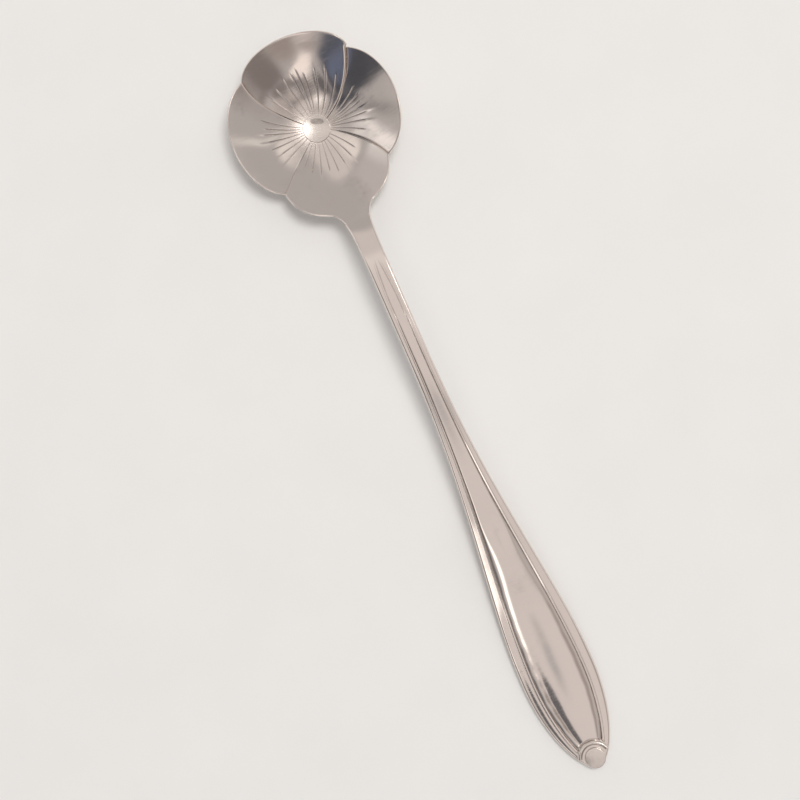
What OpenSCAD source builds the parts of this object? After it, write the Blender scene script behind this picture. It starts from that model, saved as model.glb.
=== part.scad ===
// Flower-bowl spoon: four lapped petals round a riveted centre, on a bordered handle with a button end.
// Millimetres. +X runs along the handle, +Y to the right petal, +Z up.
// The origin is the middle of the flat tail under the bowl, so the table is z = 0.

/* [Bowl] */
// Radius of the bowl at the right petal
side_radius = 15.2; // [14.8:0.1:16]
// Radius of the bowl at the left petal
left_radius = 14.95; // [14.6:0.05:15.6]
// Radius of the bowl at the tip petal
tip_radius = 15.9; // [15.4:0.1:16.6]
// Radius of the bowl at the heel petal's lobes
heel_radius = 16.5; // [16:0.1:17.2]
// Depth of the bowl, rim to floor
bowl_depth = 7.5; // [7:0.1:9]
// Roundness of the bowl: low gives straight walls, high a ball
round_share = 1.2; // [0.8:0.05:1.8]
// Thickness of the petal sheet, straight down
sheet = 1; // [0.8:0.05:1.3]
// Width of the lap at the rim
lap = 1.6; // [1:0.1:2.2]
// Solder film between two pieces
solder_gap = 0.1; // [0.08:0.01:0.2]

/* [Petals] */
// Angle of the seam from heel to right petal, at the centre
right_heel_inner_angle = 62; // [56:1:66]
// Angle of the seam from heel to right petal, at the rim
right_heel_rim_angle = 43; // [40:1:48]
// Angle of the seam from right to tip petal, at the centre
right_tip_inner_angle = 104; // [100:1:112]
// Angle of the seam from right to tip petal, at the rim
right_tip_rim_angle = 134; // [130:1:139]
// Angle of the seam from tip to left petal, at the centre
left_tip_inner_angle = 228; // [222:1:236]
// Angle of the seam from tip to left petal, at the rim
left_tip_rim_angle = 217; // [212:1:224]
// Angle of the seam from left to heel petal, at the centre
left_heel_inner_angle = 310; // [304:1:314]
// Angle of the seam from left to heel petal, at the rim
left_heel_rim_angle = 313; // [310:1:320]
// Fall of the tip petal's rim at its corners
tip_drop = 1.1; // [0.8:0.1:1.8]
// Fall of the side petals' rims at their corners
side_drop = 1; // [0.6:0.1:1.5]
// Fall of the heel petal's rim at its corners
heel_drop = 2.9; // [2.2:0.1:3.2]
// Lean of the left petal's rim toward the tip
left_lean = 0.6; // [0:0.05:0.8]
// Lean of the right petal's rim toward the tip
right_lean = 0.3; // [0:0.05:0.8]
// Lean of the heel petal's rim toward the right
heel_lean = 0.2; // [0:0.05:0.4]
// Dish of each petal between its seams
petal_dish = 0.4; // [0:0.05:0.7]

/* [Stamens] */
// Engraved lines on the tip petal
tip_stamens = 9; // [5:1:10]
// Engraved lines on each side petal
side_stamens = 7; // [5:1:9]
// Engraved lines on the heel petal
heel_stamens = 8; // [4:2:8]
// How far the lines run from the centre
stamen_reach = 9.3; // [7:0.1:11]
// Depth of the lines
stamen_depth = 0.2; // [0.1:0.01:0.3]

/* [Flower centre] */
// Radius of the dished head
head_radius = 2.5; // [2.2:0.1:3]
// Height of the head at its rim
head_height = 0.35; // [0.35:0.05:0.6]
// Depth of the dish in the head
head_dish = 0.2; // [0.1:0.02:0.24]
// Width of the head's rim
head_rim = 0.2; // [0.1:0.05:0.4]
// Radius of the shank through the petals
pin_radius = 1.4; // [1.2:0.05:1.6]
// Radius of the flat tail under the bowl
tail_radius = 2.3; // [2:0.1:2.6]
// Thickness of the tail
tail_height = 0.4; // [0.3:0.05:0.6]

/* [Handle] */
// Distance from the bowl's centre to the handle's end
handle_end = 123.7; // [118:0.1:130]
// Distance from the bowl's centre to the neck joint
neck_x = 18.4; // [18:0.1:19]
// Half width of the neck joint
neck_half = 2.4; // [2.2:0.05:2.6]
// Thickness of the neck
neck_thick = 2.3; // [2:0.05:2.6]
// Half width of the shank
shank_half = 1.9; // [1.75:0.01:2.1]
// Place where the shank is highest
crest_x = 31; // [29:0.5:34]
// Place where the shank starts to widen
widen_x = 39; // [36:0.5:44]
// Place of the greatest width
broad_x = 105.5; // [103:0.5:108]
// Half of the greatest width
broad_half = 6.7; // [6.2:0.05:7.4]
// Place from which the handle lies level
landing_x = 113; // [110:0.5:114]
// Thickness of the level end
end_thick = 1.9; // [1.7:0.05:2.2]
// Thickness of the handle's edges
edge_thick = 1.2; // [1:0.05:1.4]

/* [Handle relief] */
// Width of the border on the shank
shank_border = 0.8; // [0.6:0.05:0.9]
// Width of the border on the broad end
broad_border = 1.7; // [1.3:0.05:1.9]
// Width of the thread bead
bead_width = 0.45; // [0.3:0.05:0.6]
// Height of the thread bead
bead_rise = 0.1; // [0.05:0.01:0.2]
// Depth of the groove beside the bead
groove_depth = 0.2; // [0.15:0.01:0.35]
// Crown of the middle panel
panel_crown = 0.1; // [0.05:0.01:0.2]
// Height of the panel's shoulders
panel_shoulder = 0.1; // [0.05:0.01:0.2]
// Fall of the border at the outer edge
border_fall = 0.15; // [0.1:0.01:0.3]

/* [End] */
// Radius of the end button
button_radius = 1.85; // [1.7:0.05:2]
// Rise of the button's dome
button_rise = 0.2; // [0.1:0.05:0.4]
// Height of the button's straight side
button_side = 0.35; // [0.25:0.05:0.6]
// Radius of the spigot under the button
spigot_radius = 0.9; // [0.7:0.05:1.1]
// Length of the spigot
spigot_length = 0.9; // [0.7:0.05:1]
// Radius of the collar wire's line
collar_radius = 2.7; // [2.6:0.05:2.8]
// Half thickness of the collar wire
collar_wire = 0.4; // [0.3:0.01:0.44]
// Half of the angle the collar turns through
collar_angle = 74; // [60:1:76]

/* [Hidden] */
$fn = 64;
silver = [0.82, 0.79, 0.75];
worn_silver = [0.74, 0.71, 0.67];
overrun = solder_gap;
film = solder_gap / 2;

// Order of the petals in the tables below, and the seams at which each begins and ends
TIP = 0;
LEFT = 1;
RIGHT = 2;
HEEL = 3;
full_turn = 360;
side_turn = 90;
inner_angles = [right_heel_inner_angle, right_tip_inner_angle, left_tip_inner_angle, left_heel_inner_angle];
rim_angles = [right_heel_rim_angle, right_tip_rim_angle, left_tip_rim_angle, left_heel_rim_angle];
low_seam = [1, 2, 0, 3];
high_seam = [2, 3, 1, 0];
low_turn = [0, 0, 0, full_turn];
rim_radius = [tip_radius, left_radius, side_radius, heel_radius];
rim_drop = [tip_drop, side_drop, side_drop, heel_drop];
rim_lean = [0, left_lean, -right_lean, -heel_lean];
corner_power = [5, 4, 4, 3];
stamens = [tip_stamens, side_stamens, side_stamens, heel_stamens];
seam_power = [1.2, 1, 3, 2.4];

// Radii that part the flat middle, the butted seams and the lapped seams
hole_radius = pin_radius + solder_gap;
flat_radius = head_radius + solder_gap;
lap_start = 3.5 * flat_radius;
round_rise_share = sqrt(1 + round_share * round_share) - round_share;
step = (sheet + solder_gap) / 2;
rows = 15;
stamen_half_share = 0.015;
stamen_fade = 1.2;
tuck_trim = 0.8;

// Share of a smooth rise from 0 to 1
function smooth(t) = let(c = max(0, min(1, t))) c * c * (3 - 2 * c);

// Angle that a width takes up at a radius
function turn_of(width, r) = width / r * 180 / PI;

function sorted(list) = len(list) < 2 ? list :
    let(
        mid = list[floor(len(list) / 2)],
        under = [for (n = list) if (n < mid) n],
        over = [for (n = list) if (n > mid) n]
    )
    concat(sorted(under), [mid], sorted(over));

// Height of the bowl's middle surface
function reach(turn) =
    side_radius + ((cos(turn) > 0 ? neck_x : tip_radius) - side_radius) * pow(cos(turn), 2);
function rise_share(q) = (sqrt(q * q + round_share * round_share) - round_share) / round_rise_share;
floor_z = tail_height + film + sheet / 2 - bowl_depth * rise_share(hole_radius / tip_radius);
function bowl_z(r, turn) = floor_z + bowl_depth * rise_share(r / reach(turn));

// Seams between petals, as angles
notch_radius = side_radius - side_drop;
function seam(k, r) =
    inner_angles[k] + (rim_angles[k] - inner_angles[k]) * pow(min(1, r / notch_radius), seam_power[k]);
function seam_low(p, r) = seam(low_seam[p], r) - low_turn[p];
function seam_high(p, r) = seam(high_seam[p], r);
function tuck(r) = film + lap * smooth((r - lap_start) / (side_radius - lap_start));

// Angle of a petal's line u: 0 is its open edge, 1 its seam under the next petal, 2 its tucked edge
function petal_turn(p, u, r) =
    let(low = seam_low(p, r) + turn_of(solder_gap, r), high = seam_high(p, r))
    u <= 1 ? low + u * (high - low) : high + (u - 1) * turn_of(tuck(r), r);

// Share of the petal's width that lies over the neighbour's tuck
function over_share(p, r) = turn_of(tuck(r), r) / (seam_high(p, r) - seam_low(p, r));
function inner_share(p, u, r) = let(s = over_share(p, r)) (u - s) / (1 - s);

// Rise of the open edge, fall of the tucked edge and dish between them
function petal_lift(p, u, r) =
    let(grow = smooth((r - flat_radius) / (lap_start - flat_radius)), t = inner_share(p, u, r))
    step * grow * (1 - 2 * smooth(t)) - petal_dish * grow * pow(sin(180 * max(0, min(1, t))), 2);

// Rim of a petal, with the heel petal drawn out to the neck joint
neck_turn = atan(neck_half / neck_x);
neck_flare = neck_x / 3;
flare_share = 0.92;
flare_turn = flare_share * neck_turn;
function lobe(p, u) =
    let(side = 1 - 2 * min(1, u))
    rim_radius[p] + rim_lean[p] * side - rim_drop[p] * pow(abs(side), corner_power[p])
    - tuck_trim * max(0, u - 1);
function neck_reach(u) =
    let(first = neck_x / cos(petal_turn(HEEL, u, neck_x))) neck_x / cos(petal_turn(HEEL, u, first));
function rim(p, u) = p != HEEL ? lobe(p, u) :
    min(neck_reach(u), lobe(p, u) + neck_flare * exp(-pow(petal_turn(p, u, neck_x) / flare_turn, 2)));

// Lines of a petal: its edges, three for each engraved line, one between each two, and the neck lines
function heel_line(turn, r) =
    let(low = seam_low(HEEL, r) + turn_of(solder_gap, r)) (turn - low) / (seam_high(HEEL, r) - low);
neck_lines = [for (side = [-1, 0, 1]) heel_line(side * neck_turn, neck_x)];
function engraved(p) = [for (i = [0 : stamens[p] - 1]) (i + 1 / 2) / stamens[p]];
function petal_lines(p) = sorted(concat(
    [0, 1, 2],
    [for (u = engraved(p), side = [-1, 0, 1]) u + side * stamen_half_share],
    [for (i = [1 : stamens[p] - 1]) i / stamens[p]],
    p == HEEL ? neck_lines : []));
function on_line(p, u) = min([for (line = engraved(p)) abs(u - line)]) < stamen_half_share / 2 ? 1 : 0;
function cut(p, u, r) =
    stamen_depth * on_line(p, u)
    * smooth((r - flat_radius) / stamen_fade) * smooth((stamen_reach - r) / stamen_fade);

// Extra thickness under the heel petal, which grows into the neck
neck_start = neck_x / 2;
function neck_swell(x, y) =
    (neck_thick - sheet) * smooth((x - neck_start) / (neck_x - neck_start))
    * pow(max(0, 1 - pow(y / neck_half, 2)), 2);

function petal_point(p, u, v, below) =
    let(
        r = hole_radius + v * (rim(p, u) - hole_radius),
        turn = petal_turn(p, u, r),
        x = r * cos(turn),
        y = r * sin(turn),
        top = bowl_z(r, turn) + petal_lift(p, u, r) + sheet / 2
    )
    [x, y, below ? top - sheet - (p == HEEL ? neck_swell(x, y) : 0) : top - cut(p, u, r)];

// Solid between two grids of points, given line by line
module leaf(top, bottom) {
    lines = len(top);
    width = len(top[0]);
    count = lines * width;
    function at(i, j) = i * width + j;
    function pair(a, b, c, d) = [[a, b, c], [a, c, d]];
    upper = [for (i = [0 : lines - 2], j = [0 : width - 2], f = pair(at(i, j), at(i, j + 1), at(i + 1, j + 1),
        at(i + 1, j))) f];
    lower = [for (f = upper) [count + f[2], count + f[1], count + f[0]]];
    edge = concat(
        [for (i = [0 : lines - 1]) at(i, 0)],
        [for (j = [1 : width - 1]) at(lines - 1, j)],
        [for (i = [lines - 2 : -1 : 0]) at(i, width - 1)],
        [for (j = [width - 2 : -1 : 1]) at(0, j)]);
    turns = len(edge);
    wall = [for (k = [0 : turns - 1], f = pair(edge[k], edge[(k + 1) % turns], count + edge[(k + 1) % turns],
        count + edge[k])) f];
    polyhedron(concat([for (line = top, q = line) q], [for (line = bottom, q = line) q]),
        concat(upper, lower, wall));
}

module petal(p) {
    lines = petal_lines(p);
    leaf(
        [for (i = [0 : rows]) [for (u = lines) petal_point(p, u, i / rows, false)]],
        [for (i = [0 : rows]) [for (u = lines) petal_point(p, u, i / rows, true)]]);
}

// Height of the handle's top line: up from the bowl's wall, over a crest, down to the table
function heel_top(y) =
    let(r = norm([neck_x, y]), turn = atan(y / neck_x))
    bowl_z(r, turn) + petal_lift(HEEL, heel_line(turn, r), r) + sheet / 2;
neck_z = heel_top(0);
neck_slope = bowl_depth / neck_x / sqrt(1 + round_share * round_share) / round_rise_share;
crest_power = 3.2;
crest_run = crest_x - neck_x;
crest_z = neck_z + neck_slope * crest_run / crest_power;
function line_z(x) =
    x < crest_x ? crest_z - (crest_z - neck_z) * pow((crest_x - x) / crest_run, crest_power) :
    end_thick + (crest_z - end_thick) * (1 + cos(180 * min(1, (x - crest_x) / (landing_x - crest_x)))) / 2;

// Half width of the handle
widen_power = 1.4;
tip_power = 0.6;
neck_taper = 2.2;
function half_width(x) =
    x < broad_x ?
        shank_half + (neck_half - shank_half) * exp(-(x - neck_x) / neck_taper)
        + (broad_half - shank_half) * smooth(pow(max(0, x - widen_x) / (broad_x - widen_x), widen_power)) :
    broad_half * pow(max(0, 1 - pow((x - broad_x) / (handle_end - broad_x), 2)), tip_power);

// Cross section of the handle: panel, groove, bead and border, measured from the middle line
panel_power = 5;
border_share = 0.42;
bead_share = 0.14;
function border(w) = min(border_share * w,
    shank_border + (broad_border - shank_border) * (w - shank_half) / (broad_half - shank_half));
function bead(w) = min(bead_share * w, bead_width);
function panel_relief(t) =
    panel_crown * (1 - t * t) + (groove_depth + panel_shoulder) * (1 - pow(t, panel_power)) - groove_depth;
function relief(a, w) =
    let(panel = w - border(w) - bead(w), s = (a - panel) / bead(w), b = (a - panel - bead(w)) / border(w))
    s <= 0 ? panel_relief(a / panel) :
    s < 1 / 2 ? (groove_depth + bead_rise) * smooth(2 * s) - groove_depth :
    s < 1 ? bead_rise * (1 - smooth(2 * s - 1)) :
    -border_fall * pow(min(1, b), 3);

button_x = handle_end - button_radius - solder_gap;
seat_radius = collar_radius + collar_wire + solder_gap;
relief_start = neck_x + 2.5 * neck_taper;
relief_run = 18 * neck_taper;
seat_blend = collar_wire;
function relief_fade(x, a) =
    smooth((x - relief_start) / relief_run)
    * smooth((norm([x - button_x, a]) - seat_radius) / seat_blend);

// Thickness of the handle: full in the middle, thin at the edges, flatter below toward the end
function along_share(x) = smooth((x - crest_x) / (landing_x - crest_x));
function thickness(x, a) =
    let(
        w = half_width(x),
        core = neck_thick + (end_thick - neck_thick) * along_share(x),
        edge = sheet + (edge_thick - sheet) * smooth((x - neck_x) / crest_run),
        power = 2 + 2 * along_share(x)
    )
    edge + (core - edge) * pow(1 - pow(min(1, a / w), power), 2);

function neck_arc(x, y) = (heel_top(y) - neck_z) * (1 - smooth((x - neck_x) / (2 * neck_taper)));

function section_lines(w) =
    let(
        b = border(w),
        panel = w - b - bead(w),
        side = [panel / 2, panel * 4 / 5, panel, panel + bead(w) / 2, w - b, w - b / 2, w - b / 5, w]
    )
    concat([for (i = [len(side) - 1 : -1 : 0]) -side[i]], [0], side);

function handle_point(x, y, below) =
    let(a = abs(y), level = line_z(x) + neck_arc(x, y))
    [x, y, below ? level - thickness(x, a) : level + relief(a, half_width(x)) * relief_fade(x, a)];

// Stations along the handle: neck, shank, and the end where they close up with the outline
neck_steps = 9;
shank_steps = 18;
end_steps = 18;
end_turn = 88;
stations = concat(
    [for (i = [0 : neck_steps - 1]) neck_x + crest_run * i / neck_steps],
    [for (i = [0 : shank_steps - 1]) crest_x + (broad_x - crest_x) * i / shank_steps],
    [for (i = [0 : end_steps]) broad_x + (handle_end - broad_x) * sin(end_turn * i / end_steps)]);

// Radius of the ball whose cap has a given radius and rise
function ball_radius(radius, rise) = (radius * radius + rise * rise) / (2 * rise);

module tip_petal() {
    color(silver)
        petal(TIP);
}

module left_petal() {
    color(silver)
        petal(LEFT);
}

module right_petal() {
    color(silver)
        petal(RIGHT);
}

module heel_petal() {
    color(silver)
        petal(HEEL);
}

// Rivet with a dished head inside the bowl and a flat tail below it
head_z = bowl_z(head_radius, side_turn) + sheet / 2 + film;
dish_ball = ball_radius(head_radius - head_rim, head_dish);
module flower_centre() {
    color(worn_silver) {
        difference() {
            translate([0, 0, head_z])
                cylinder(h = head_height, r = head_radius);
            translate([0, 0, head_z + head_height - head_dish + dish_ball])
                sphere(r = dish_ball, $fn = 2 * $fn);
        }
        cylinder(h = head_z + overrun / 2, r = pin_radius);
        cylinder(h = tail_height, r = tail_radius);
    }
}

module handle() {
    color(silver)
        difference() {
            leaf(
                [for (x = stations) [for (y = section_lines(half_width(x))) handle_point(x, y, false)]],
                [for (x = stations) [for (y = section_lines(half_width(x))) handle_point(x, y, true)]]);
            translate([button_x, 0, end_thick]) {
                cylinder(h = crest_z, r = seat_radius);
                translate([0, 0, -spigot_length - film])
                    cylinder(h = spigot_length + film + overrun, r = spigot_radius + film);
            }
        }
}

// Button with a domed top, on a spigot let into the handle
button_ball = ball_radius(button_radius, button_rise);
module end_button() {
    color(worn_silver)
        translate([button_x, 0, end_thick]) {
            intersection() {
                cylinder(h = button_side + button_rise, r = button_radius);
                translate([0, 0, button_side + button_rise - button_ball])
                    sphere(r = button_ball, $fn = 2 * $fn);
            }
            translate([0, 0, -spigot_length])
                cylinder(h = spigot_length + button_side, r = spigot_radius);
        }
}

module end_collar() {
    color(worn_silver)
        translate([button_x, 0, end_thick])
            rotate([0, 0, 180 - collar_angle])
                rotate_extrude(angle = 2 * collar_angle)
                    intersection() {
                        translate([collar_radius, 0])
                            circle(r = collar_wire);
                        translate([collar_radius - collar_wire, 0])
                            square([2 * collar_wire, collar_wire]);
                    }
}

tip_petal();
left_petal();
right_petal();
heel_petal();
flower_centre();
handle();
end_button();
end_collar();
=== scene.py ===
# %% [markdown]
# # Dressing a flower-bowl spoon
#
# The spoon has a round bowl made as an open flower: four petals lap one over the next round a small
# centre that lies nearly flush with them. A slim shank leaves the bowl, widens into a bordered handle
# and ends in a small button with a raised collar. The plain solids of the frame already have the right
# places and sizes. Here each piece is made again as a smooth, finely rounded mesh with a worn silver
# finish, and takes its solid's place.
#
# The spoon's sizes are in millimetres and degrees, as a silversmith would write them, and become
# Blender's metres and radians where a mesh is made.

# %% Load the frame
import math
import random
import bpy
import bmesh
from mathutils import Matrix, Vector
from mathutils.geometry import intersect_point_line
from mathutils.kdtree import KDTree


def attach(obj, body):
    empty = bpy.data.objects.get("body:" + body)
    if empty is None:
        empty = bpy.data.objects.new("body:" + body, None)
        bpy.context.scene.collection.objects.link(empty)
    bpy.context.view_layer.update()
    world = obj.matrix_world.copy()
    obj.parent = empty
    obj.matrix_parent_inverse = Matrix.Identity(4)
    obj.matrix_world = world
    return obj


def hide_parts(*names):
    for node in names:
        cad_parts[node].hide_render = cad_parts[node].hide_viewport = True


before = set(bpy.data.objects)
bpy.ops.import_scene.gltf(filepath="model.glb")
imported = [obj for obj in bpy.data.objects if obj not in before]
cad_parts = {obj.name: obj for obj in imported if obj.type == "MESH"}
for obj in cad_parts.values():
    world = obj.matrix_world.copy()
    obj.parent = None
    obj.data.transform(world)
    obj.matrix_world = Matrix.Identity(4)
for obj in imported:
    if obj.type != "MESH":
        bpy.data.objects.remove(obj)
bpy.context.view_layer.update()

MM = 0.001
scene = bpy.context.scene
print("solids in the frame:", sorted(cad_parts))

# %% [markdown]
# ## The camera
#
# The spoon is seen from straight above, lying on a table, with its handle running down the picture at
# an angle. A real camera stood about a third of a metre up, so the raised bowl shows a little larger
# than it would from far away. A camera without perspective would miss that. We give Blender's camera
# the same height and the same width of table, and turn it about the upright axis only.

# %% Camera
camera_height = 330.0
table_width = 142.24
handle_turn = 23.88
camera_foot = (49.94, -5.98)

lens = bpy.data.cameras.new("camera")
lens.lens = lens.sensor_width * camera_height / table_width
camera = bpy.data.objects.new("camera", lens)
camera.location = Vector((*camera_foot, camera_height)) * MM
camera.rotation_euler = (0, 0, math.radians(90 - handle_turn))
scene.collection.objects.link(camera)
scene.camera = camera
scene.view_settings.view_transform = "Standard"
print("camera lens, mm:", round(lens.lens, 1))

# %% [markdown]
# ## Helpers for nodes
#
# Materials, worlds and node groups are all node trees. They could be wired node by node, but that gets
# long. One small function adds a node, sets its options and either links or fills its inputs, and four
# others make the nodes that come up again and again, so that a tree reads as a list of steps.

# %% Node helpers
def add_node(tree, kind, inputs=(), **options):
    made = tree.nodes.new(kind)
    for option, value in options.items():
        setattr(made, option, value)
    for key, value in dict(inputs).items():
        if isinstance(value, bpy.types.NodeSocket):
            tree.links.new(value, made.inputs[key])
        else:
            made.inputs[key].default_value = value
    return made


def mix_colour(tree, factor, first, second):
    """The Mix node takes its two colours at sockets 6 and 7, and gives the result at socket 2."""
    mixed = add_node(tree, "ShaderNodeMix", {0: factor, 6: first, 7: second}, data_type="RGBA")
    return mixed.outputs[2]


def arithmetic(tree, operation, *values):
    done = add_node(tree, "ShaderNodeMath", dict(enumerate(values)), operation=operation)
    return done.outputs[0]


def ramp(tree, value, low, high, to_low=0.0, to_high=1.0):
    """Turns low to high into to_low to to_high, with soft ends."""
    mapped = add_node(tree, "ShaderNodeMapRange", {0: value, 1: low, 2: high, 3: to_low, 4: to_high},
                      interpolation_type="SMOOTHSTEP")
    return mapped.outputs[0]


def noise(tree, place, scale, detail, roughness=0.5):
    made = add_node(tree, "ShaderNodeTexNoise", {
        "Vector": place, "Scale": scale, "Detail": detail, "Roughness": roughness})
    return made.outputs[0]


print("node helpers ready")

# %% [markdown]
# ## The room that the silver mirrors
#
# Polished silver has hardly any look of its own: it shows the room. A picture of a real room would do,
# but every change would mean a new picture. So the room is built in the world's own nodes, as a pale
# studio with some thirty soft patches, brighter and darker, that lie one over another and can be moved
# by hand. A direction is first turned into a flat map, in which straight up is the middle and the
# horizon is a circle of radius 1. Seen from above, a patch at the radius tan(a) shows on metal that
# leans by the angle a, so it is easy to say where in the bowl it will appear.

# %% Map of directions
room = bpy.data.worlds.new("studio_room")
room.use_nodes = True
scene.world = room
sky = room.node_tree
sky.nodes.clear()
direction = add_node(sky, "ShaderNodeTexCoord").outputs["Generated"]
axes = add_node(sky, "ShaderNodeSeparateXYZ", {0: direction}).outputs
upward = arithmetic(sky, "ADD", arithmetic(sky, "MAXIMUM", axes[2], 0.0), 1.0)
flat_map = add_node(sky, "ShaderNodeCombineXYZ", {
    0: arithmetic(sky, "DIVIDE", axes[0], upward),
    1: arithmetic(sky, "DIVIDE", axes[1], upward),
}).outputs[0]
print("nodes in the map of directions:", len(sky.nodes))

# %% Soft patches
PATCHES = [
    # place on the map, radii, turn, colour, core
    ((0.02, 0.02), (0.45, 0.42), 0, (0.77, 0.73, 0.71), 0.35),
    ((-0.36, 0.05), (0.25, 0.27), 0, (0.70, 0.67, 0.655), 0.3),
    ((-0.62, -0.32), (0.25, 0.30), 0, (0.58, 0.56, 0.55), 0.3),
    ((-0.12, -0.06), (0.10, 0.12), 0, (0.88, 0.85, 0.82), 0.3),
    ((0.085, 0.60), (0.36, 0.085), 82, (0.77, 0.76, 0.73), 0.25),
    ((0.45, 0.55), (0.16, 0.12), 50, (0.33, 0.30, 0.285), 0.2),
    ((0.13, 0.22), (0.12, 0.10), 0, (0.42, 0.38, 0.36), 0.2),
    ((0.28, 0.18), (0.085, 0.14), 0, (0.25, 0.23, 0.22), 0.4),
    ((0.31, 0.40), (0.12, 0.10), 0, (0.30, 0.275, 0.265), 0.3),
    ((-0.09, 0.34), (0.16, 0.12), 0, (0.90, 0.86, 0.82), 0.2),
    ((-0.22, -0.19), (0.14, 0.12), 0, (0.93, 0.89, 0.85), 0.35),
    ((-0.27, -0.65), (0.24, 0.065), 67, (0.29, 0.285, 0.28), 0.2),
    ((-0.46, -0.50), (0.26, 0.15), 50, (0.74, 0.73, 0.72), 0.2),
    ((-0.41, -0.56), (0.22, 0.065), 54, (1.12, 1.10, 1.09), 0.2),
    ((0.52, 0.28), (0.30, 0.26), 45, (0.24, 0.215, 0.21), 0.45),
    ((0.315, -0.03), (0.09, 0.27), -5, (0.27, 0.25, 0.245), 0.45),
    ((0.66, -0.05), (0.10, 0.30), 0, (0.36, 0.32, 0.30), 0.4),
    ((0.30, -0.70), (0.37, 0.31), 0, (0.08, 0.085, 0.10), 0.75),
    ((0.08, -0.41), (0.20, 0.19), 0, (0.13, 0.135, 0.15), 0.5),
    ((-0.03, -0.52), (0.15, 0.14), 0, (0.10, 0.105, 0.12), 0.4),
    ((0.30, -0.32), (0.11, 0.12), 0, (0.15, 0.145, 0.15), 0.5),
    ((0.46, -0.53), (0.14, 0.10), 25, (0.08, 0.095, 0.13), 0.5),
    ((-0.03, -0.29), (0.12, 0.16), 0, (0.06, 0.065, 0.08), 0.45),
    ((0.36, -0.55), (0.12, 0.08), 0, (0.16, 0.195, 0.29), 0.3),
    ((0.43, -0.40), (0.06, 0.05), 0, (0.50, 0.48, 0.48), 0.3),
    ((0.47, -0.20), (0.115, 0.26), 25, (1.10, 1.02, 0.97), 0.5),
    ((0.60, -0.41), (0.06, 0.20), -15, (0.36, 0.33, 0.32), 0.45),
    ((-0.03, 0.16), (0.12, 0.11), 0, (3.00, 2.95, 2.85), 0.3),
    ((-0.035, 0.155), (0.05, 0.05), 0, (9.00, 8.80, 8.50), 0.3),
    ((0.195, -0.155), (0.055, 0.070), 0, (1.70, 1.65, 1.58), 0.4),
    ((0.110, -0.16), (0.036, 0.07), 0, (0.36, 0.33, 0.31), 0.4),
    ((0.112, -0.062), (0.034, 0.045), 0, (0.15, 0.15, 0.16), 0.75),
    ((0.15, 0.008), (0.05, 0.012), 0, (0.47, 0.465, 0.47), 0.1),
]
room_shade = (0.50, 0.485, 0.48, 1)


def soft_patch(under, place, radii, turn, colour, core):
    """Lays an ellipse over the colour so far, full inside the share core of it and fading to its edge."""
    moved = add_node(sky, "ShaderNodeMapping", {
        0: flat_map, 1: (*place, 0), 2: (0, 0, math.radians(turn)), 3: (*radii, 1),
    }, vector_type="TEXTURE").outputs[0]
    away = add_node(sky, "ShaderNodeVectorMath", {0: moved}, operation="LENGTH").outputs["Value"]
    return mix_colour(sky, ramp(sky, away, core, 1.0, 1.0, 0.0), under, (*colour, 1))


shade = room_shade
for patch in PATCHES:
    shade = soft_patch(shade, *patch)
print("room patches:", len(PATCHES))

# %% [markdown]
# Low down, near the horizon, a pale wall runs right round the room. Steep metal, such as the rounded
# edges of the sheet, mirrors it, so the spoon keeps a bright outline from every side.

# %% Pale wall
wall_start, wall_full = 0.84, 0.95
wall_colour = (1.30, 1.27, 1.24, 1)
outward = add_node(sky, "ShaderNodeVectorMath", {0: flat_map}, operation="LENGTH").outputs["Value"]
shade = mix_colour(sky, ramp(sky, outward, wall_start, wall_full), shade, wall_colour)
glow = add_node(sky, "ShaderNodeBackground", {0: shade, 1: 1.0}).outputs[0]
add_node(sky, "ShaderNodeOutputWorld", {0: glow})
print("nodes in the room:", len(sky.nodes))

# %% [markdown]
# ## Table and lamp
#
# The table is one plain, pale sheet with a trace of fibre in its colour. The room alone would give the
# spoon a shadow that is soft all round. A single lamp toward the picture's upper right draws it to the
# lower left. In the silver such a lamp would be a hard white disc, so it is hidden from reflections.

# %% Table
table_reach = 1.5
table_low = -0.02 * MM
paper_shades = (0.80, 0.80, 0.79, 1), (0.84, 0.84, 0.83, 1)

bm = bmesh.new()
bmesh.ops.create_grid(bm, x_segments=1, y_segments=1, size=table_reach)
bmesh.ops.translate(bm, verts=bm.verts, vec=(0, 0, table_low))
table_mesh = bpy.data.meshes.new("table")
bm.to_mesh(table_mesh)
bm.free()
table = bpy.data.objects.new("table", table_mesh)
scene.collection.objects.link(table)

paper = bpy.data.materials.new("pale_table")
paper.use_nodes = True
tree = paper.node_tree
coat = tree.nodes["Principled BSDF"]
coat.inputs["Roughness"].default_value = 0.9
coat.inputs["Specular IOR Level"].default_value = 0.1
place = add_node(tree, "ShaderNodeTexCoord").outputs["Object"]
fibre = noise(tree, place, 60.0, 3.0)
tree.links.new(mix_colour(tree, fibre, *paper_shades), coat.inputs["Base Color"])
table_mesh.materials.append(paper)
print("table reaches out, mm:", round(table_reach / MM))

# %% Lamp
lamp_width, lamp_distance, lamp_watts = 0.24, 0.9, 3.2
lamp_bearing, lamp_lean = math.radians(125), math.radians(11)
lamp_aim = Vector((0.045, 0, 0))

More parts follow.
